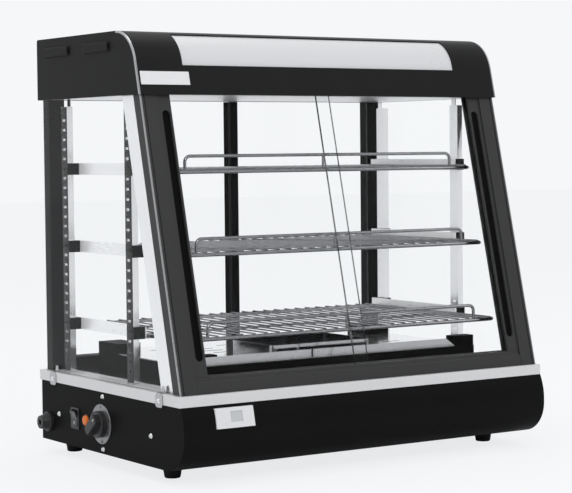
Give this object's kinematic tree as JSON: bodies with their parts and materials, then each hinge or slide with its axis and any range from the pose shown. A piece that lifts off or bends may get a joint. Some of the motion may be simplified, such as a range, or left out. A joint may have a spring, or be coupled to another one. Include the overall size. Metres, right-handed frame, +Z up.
{
  "type": "heated display cabinet",
  "caption": "Countertop heated display cabinet with slanted sliding front glass, wire shelves, sliding back doors, black canopy with light panel, and a base with thermostat.",
  "frame": {"origin": "on the floor the feet stand on, under the middle of the whole outline, so 7.8 mm to the left of the cabinet's middle plane and 6.45 mm in front of the middle of the waist band", "axes": "+Z up, -Y is the front with the slanted glass, +X is the right side seen from the front; the controls are on the -X side"},
  "size_m": [0.6824, 0.45, 0.646],
  "materials": {
    "black_enamel": "satin black enamel",
    "silver_band": "satin aluminium",
    "panel_fasteners": "bright plated steel",
    "rubber_feet": "matt rubber",
    "floor_sheet": "satin steel sheet",
    "black_plastic": "fine grained",
    "switch_plastic": "semi gloss",
    "orange_lens": "clear orange",
    "dial_metal": "brushed",
    "ceramic_block": "matt",
    "plate_face": "smooth silver white",
    "display_glass": "dark gloss",
    "black_frame": "satin black anodised",
    "bead_metal": "polished",
    "front_glass": "clear toughened glass",
    "side_glass": "clear toughened glass",
    "back_glass": "clear toughened glass",
    "polished_strip": "bright satin steel",
    "clip_steel": "pressed steel",
    "pilaster_steel": "satin steel",
    "shelf_clip_coat": "black coat",
    "runner_steel": "satin steel",
    "chrome_wire": "chrome plated wire",
    "heater_black": "matt black",
    "heater_silver": "satin steel",
    "element_sheath": "heat tinted",
    "tray_steel": "satin steel",
    "canopy_enamel": "satin black enamel",
    "light_diffuser": "translucent white",
    "silver_trim": "polished",
    "badge_blank": "satin, blank",
    "liner_sheet": "satin",
    "tube_glass": "frosted",
    "socket_plastic": "white",
    "track_coat": "satin black"
  },
  "bodies": {
    "cabinet": {"base_chassis": "black_enamel", "base_front_cover": "black_enamel", "base_panel_left": "black_enamel", "base_panel_right": "black_enamel", "panel_and_clip_screws": "panel_fasteners", "feet": "rubber_feet", "waist_band": "silver_band", "chamber_floor": "floor_sheet", "cable_gland": "black_plastic", "gland_nut": "black_plastic", "switch_housing": "black_plastic", "pilot_lamp_body": "black_plastic", "pilot_lamp_lens": "orange_lens", "thermostat_body": "floor_sheet", "thermostat_dial": "dial_metal", "terminal_block": "ceramic_block", "display_plate": "plate_face", "display_window": "display_glass", "rear_post_left": "black_frame", "rear_post_right": "black_frame", "frame_rail_left": "black_frame", "frame_rail_right": "black_frame", "frame_rail_bottom": "black_frame", "frame_rail_top": "black_frame", "corner_beads": "bead_metal", "side_strip_left": "polished_strip", "side_strip_right": "polished_strip", "side_glass_left": "side_glass", "side_glass_right": "side_glass", "glass_clips": "clip_steel", "pilasters_rear": "pilaster_steel", "pilasters_front": "pilaster_steel", "shelf_clips": "shelf_clip_coat", "shelf_runners": "runner_steel", "heater_box": "heater_black", "heater_cover": "heater_silver", "heating_element": "element_sheath", "door_track_bottom": "track_coat", "door_track_top": "track_coat", "canopy_shell": "canopy_enamel", "light_panel": "light_diffuser", "canopy_end_left": "canopy_enamel", "canopy_end_right": "canopy_enamel", "canopy_trims": "silver_trim", "badge_plate": "badge_blank", "ceiling_liner": "liner_sheet", "lamp_tube": "tube_glass", "lamp_sockets": "socket_plastic"},
    "front_pane_right": {"front_pane_right": "front_glass"},
    "front_pane_left": {"front_pane_left": "front_glass"},
    "back_door_left": {"back_door_left_glass": "back_glass", "back_door_left_stile": "track_coat"},
    "back_door_right": {"back_door_right_glass": "back_glass", "back_door_right_stile": "track_coat"},
    "thermostat_knob": {"thermostat_knob": "black_plastic"},
    "switch_rocker": {"switch_rocker": "switch_plastic"},
    "shelf_top": {"shelf_top": "chrome_wire"},
    "shelf_middle": {"shelf_middle": "chrome_wire"},
    "shelf_bottom": {"shelf_bottom": "chrome_wire"},
    "water_tray": {"water_tray": "tray_steel"}
  },
  "joints": [
    {"name": "front_pane_right_slide", "type": "slide", "parent": "cabinet", "child": "front_pane_right", "axis": [1, 0, 0], "range_m": [-0.279, 0]},
    {"name": "front_pane_left_slide", "type": "slide", "parent": "cabinet", "child": "front_pane_left", "axis": [1, 0, 0], "range_m": [0, 0.279]},
    {"name": "back_door_right_slide", "type": "slide", "parent": "cabinet", "child": "back_door_right", "axis": [1, 0, 0], "range_m": [-0.298, 0]},
    {"name": "back_door_left_slide", "type": "slide", "parent": "cabinet", "child": "back_door_left", "axis": [1, 0, 0], "range_m": [0, 0.266]},
    {"name": "thermostat_turn", "type": "hinge", "parent": "cabinet", "child": "thermostat_knob", "pos_m": [-0.3302, 0.02145, 0.0649], "axis": [1, 0, 0], "range_deg": [-50, 220]},
    {"name": "switch_rock", "type": "hinge", "parent": "cabinet", "child": "switch_rocker", "pos_m": [-0.3204, 0.10545, 0.0645], "axis": [0, 1, 0], "range_deg": [0, 16]},
    {"name": "shelf_top_lift", "type": "slide", "parent": "cabinet", "child": "shelf_top", "axis": [0, 0, 1], "range_m": [0, 0.012]},
    {"name": "shelf_middle_lift", "type": "slide", "parent": "cabinet", "child": "shelf_middle", "axis": [0, 0, 1], "range_m": [0, 0.012]},
    {"name": "shelf_bottom_lift", "type": "slide", "parent": "cabinet", "child": "shelf_bottom", "axis": [0, 0, 1], "range_m": [0, 0.012]},
    {"name": "water_tray_lift", "type": "slide", "parent": "cabinet", "child": "water_tray", "axis": [0, 0, 1], "range_m": [0, 0.012]}
  ]
}
